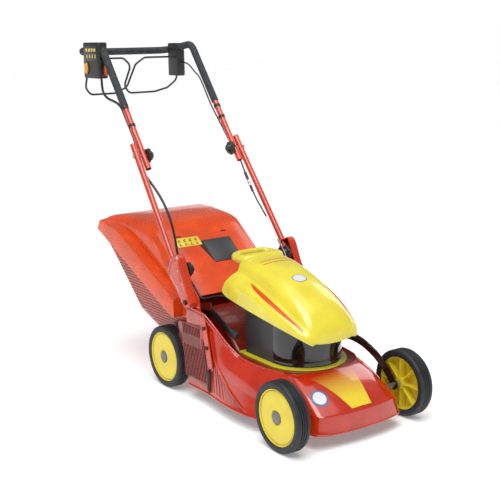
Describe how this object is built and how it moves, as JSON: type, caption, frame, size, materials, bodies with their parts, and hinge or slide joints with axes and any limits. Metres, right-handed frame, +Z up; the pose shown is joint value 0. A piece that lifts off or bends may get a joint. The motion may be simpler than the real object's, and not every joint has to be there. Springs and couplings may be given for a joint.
{
  "type": "walk-behind electric mower",
  "caption": "Walk-behind electric rotary mower with a pressed deck, motor under a bright cover, folding handle with control bails, and a hard grass box behind.",
  "frame": {"origin": "on the lawn, under the middle of the whole object", "axes": "-Y is the way it drives, +Y towards the operator, +X the operator's left, +Z up"},
  "size_m": [0.494, 1.3445, 1.092],
  "materials": {
    "painted_steel": "gloss",
    "black_paint": "gloss",
    "painted_tube": "gloss",
    "red_plastic": "gloss",
    "yellow_plastic": "gloss",
    "black_plastic": "satin",
    "grey_plastic": "satin",
    "tyre_rubber": "matte",
    "grip_foam": "matte",
    "cable_rubber": "satin",
    "steel": "satin",
    "aluminium": "satin",
    "stator_iron": "satin",
    "orange_plastic": "gloss",
    "wire_steel": "satin"
  },
  "bodies": {
    "chassis": {"deck": "painted_steel", "side_grilles": "red_plastic", "side_bars": "painted_steel", "front_emblem": "yellow_plastic", "motor_base_ring": "yellow_plastic", "motor_housing": "black_plastic", "stator": "stator_iron", "motor_cover": "yellow_plastic", "handle_ears": "painted_steel", "height_rack": "steel", "deck_bolts": "steel", "mains_lead_lower": "cable_rubber", "clutch_wire": "wire_steel", "drive_belt": "cable_rubber"},
    "height_slider": {"height_slider": "black_plastic"},
    "front_carrier": {"front_axle": "steel", "front_arm": "black_paint", "front_axle_plate": "painted_steel", "hub_caps_front": "grey_plastic"},
    "rear_carrier": {"rear_axle_beam": "steel", "gearbox": "aluminium"},
    "drive_shaft": {"drive_shaft": "steel", "hub_caps_rear": "grey_plastic"},
    "input_pulley": {"input_pulley": "aluminium"},
    "blade_unit": {"rotor": "steel", "motor_pulley": "aluminium", "blade_holder": "aluminium", "blade": "steel", "blade_bolt": "steel"},
    "clutch_arm": {"clutch_arm": "steel"},
    "lower_handle": {"lower_tubes": "painted_tube", "handle_brackets": "painted_steel", "mains_lead_middle": "cable_rubber", "clutch_cable_lower": "cable_rubber"},
    "upper_handle": {"upper_tube": "painted_tube", "grip_sleeve": "grip_foam", "switch_box": "black_plastic", "clutch_box": "black_plastic", "mains_inlet": "orange_plastic", "mains_lead_upper": "cable_rubber", "clutch_cable_upper": "cable_rubber", "cable_clips": "black_plastic"},
    "fold_knob_left": {"fold_knob_left": "black_plastic"},
    "fold_knob_right": {"fold_knob_right": "black_plastic"},
    "lock_knob_left": {"lock_knob_left": "black_plastic"},
    "lock_knob_right": {"lock_knob_right": "black_plastic"},
    "drive_bail": {"drive_bail": "black_plastic"},
    "blade_bail": {"blade_bail": "black_plastic"},
    "start_button": {"start_button": "yellow_plastic"},
    "grass_box": {"catcher_body": "red_plastic", "catcher_lid": "red_plastic"},
    "level_flap": {"level_flap": "grey_plastic"},
    "wheel_front_left": {"tyre_front_left": "tyre_rubber", "wheel_disc_front_left": "yellow_plastic"},
    "wheel_front_right": {"tyre_front_right": "tyre_rubber", "wheel_disc_front_right": "yellow_plastic"},
    "wheel_rear_left": {"tyre_rear_left": "tyre_rubber", "wheel_disc_rear_left": "yellow_plastic"},
    "wheel_rear_right": {"tyre_rear_right": "tyre_rubber", "wheel_disc_rear_right": "yellow_plastic"}
  },
  "joints": [
    {"name": "height_slide", "type": "slide", "parent": "chassis", "child": "height_slider", "axis": [0, 0.9184, 0.3956], "range_m": [0, 0.05]},
    {"name": "front_lift", "type": "hinge", "parent": "chassis", "child": "front_carrier", "pos_m": [0, -0.24, 0.195], "axis": [1, 0, 0], "range_deg": [0, 2.8]},
    {"name": "rear_lift", "type": "hinge", "parent": "chassis", "child": "rear_carrier", "pos_m": [0, -0.022, 0.122], "axis": [1, 0, 0], "range_deg": [-10.9, 0], "deforming": ["drive_belt"]},
    {"name": "drive_shaft_spin", "type": "hinge", "parent": "rear_carrier", "child": "drive_shaft", "pos_m": [0, 0.067, 0.1], "axis": [1, 0, 0], "continuous": true},
    {"name": "input_pulley_spin", "type": "hinge", "parent": "rear_carrier", "child": "input_pulley", "pos_m": [0, -0.012, 0.11], "axis": [0, 0, 1], "continuous": true},
    {"name": "blade_spin", "type": "hinge", "parent": "chassis", "child": "blade_unit", "pos_m": [0, -0.342, 0.062], "axis": [0, 0, 1], "continuous": true},
    {"name": "clutch_arm_swing", "type": "hinge", "parent": "chassis", "child": "clutch_arm", "pos_m": [0.078, -0.2, 0.126], "axis": [0, 0, 1], "range_deg": [0, 2.9]},
    {"name": "lower_handle_fold", "type": "hinge", "parent": "chassis", "child": "lower_handle", "pos_m": [0, -0.099, 0.318], "axis": [1, 0, 0], "range_deg": [0, 55]},
    {"name": "upper_handle_fold", "type": "hinge", "parent": "lower_handle", "child": "upper_handle", "pos_m": [0, 0.218, 0.732], "axis": [1, 0, 0], "range_deg": [0, 130]},
    {"name": "fold_knob_left_turn", "type": "hinge", "parent": "upper_handle", "child": "fold_knob_left", "pos_m": [-0.178, 0.218, 0.732], "axis": [1, 0, 0], "range_deg": [0, 360]},
    {"name": "fold_knob_right_turn", "type": "hinge", "parent": "upper_handle", "child": "fold_knob_right", "pos_m": [0.178, 0.218, 0.732], "axis": [1, 0, 0], "range_deg": [0, 360]},
    {"name": "lock_knob_left_turn", "type": "hinge", "parent": "lower_handle", "child": "lock_knob_left", "pos_m": [-0.185, -0.056, 0.408], "axis": [1, 0, 0], "range_deg": [0, 360]},
    {"name": "lock_knob_right_turn", "type": "hinge", "parent": "lower_handle", "child": "lock_knob_right", "pos_m": [0.185, -0.056, 0.408], "axis": [1, 0, 0], "range_deg": [0, 360]},
    {"name": "drive_bail_pull", "type": "hinge", "parent": "upper_handle", "child": "drive_bail", "pos_m": [0, 0.568, 1.036], "axis": [1, 0, 0], "range_deg": [0, 22], "stiffness_Nm_per_rad": 0.4, "springref_deg": -17.19},
    {"name": "blade_bail_pull", "type": "hinge", "parent": "drive_bail", "child": "blade_bail", "pos_m": [0, 0.568, 1.036], "axis": [1, 0, 0], "range_deg": [0, 37], "stiffness_Nm_per_rad": 0.4, "springref_deg": -17.19},
    {"name": "start_button_push", "type": "slide", "parent": "upper_handle", "child": "start_button", "axis": [1, 0, 0], "range_m": [0, 0.004], "stiffness_N_per_m": 300, "springref_m": -0.002},
    {"name": "grass_box_lift", "type": "slide", "parent": "chassis", "child": "grass_box", "axis": [0, 0.9794, 0.2019], "range_m": [0, 0.35]},
    {"name": "level_flap_swing", "type": "hinge", "parent": "grass_box", "child": "level_flap", "pos_m": [0.03, 0.12222, 0.44857], "axis": [-1, 0, 0], "range_deg": [0, 35]},
    {"name": "wheel_front_left_spin", "type": "hinge", "parent": "front_carrier", "child": "wheel_front_left", "pos_m": [-0.2245, -0.577, 0.1], "axis": [1, 0, 0], "continuous": true},
    {"name": "wheel_front_right_spin", "type": "hinge", "parent": "front_carrier", "child": "wheel_front_right", "pos_m": [0.2245, -0.577, 0.1], "axis": [1, 0, 0], "continuous": true},
    {"name": "wheel_rear_left_spin", "type": "hinge", "parent": "rear_carrier", "child": "wheel_rear_left", "pos_m": [-0.1955, 0.067, 0.1], "axis": [1, 0, 0], "continuous": true},
    {"name": "wheel_rear_right_spin", "type": "hinge", "parent": "rear_carrier", "child": "wheel_rear_right", "pos_m": [0.1955, 0.067, 0.1], "axis": [1, 0, 0], "continuous": true}
  ],
  "couplings": [
    {"joint": "front_lift", "follows": "height_slide", "rad_per_m": 0.952},
    {"joint": "rear_lift", "follows": "height_slide", "rad_per_m": -3.77},
    {"joint": "clutch_arm_swing", "follows": "drive_bail_pull", "ratio": 0.13},
    {"joint": "drive_shaft_spin", "follows": "input_pulley_spin", "ratio": 0.05}
  ]
}
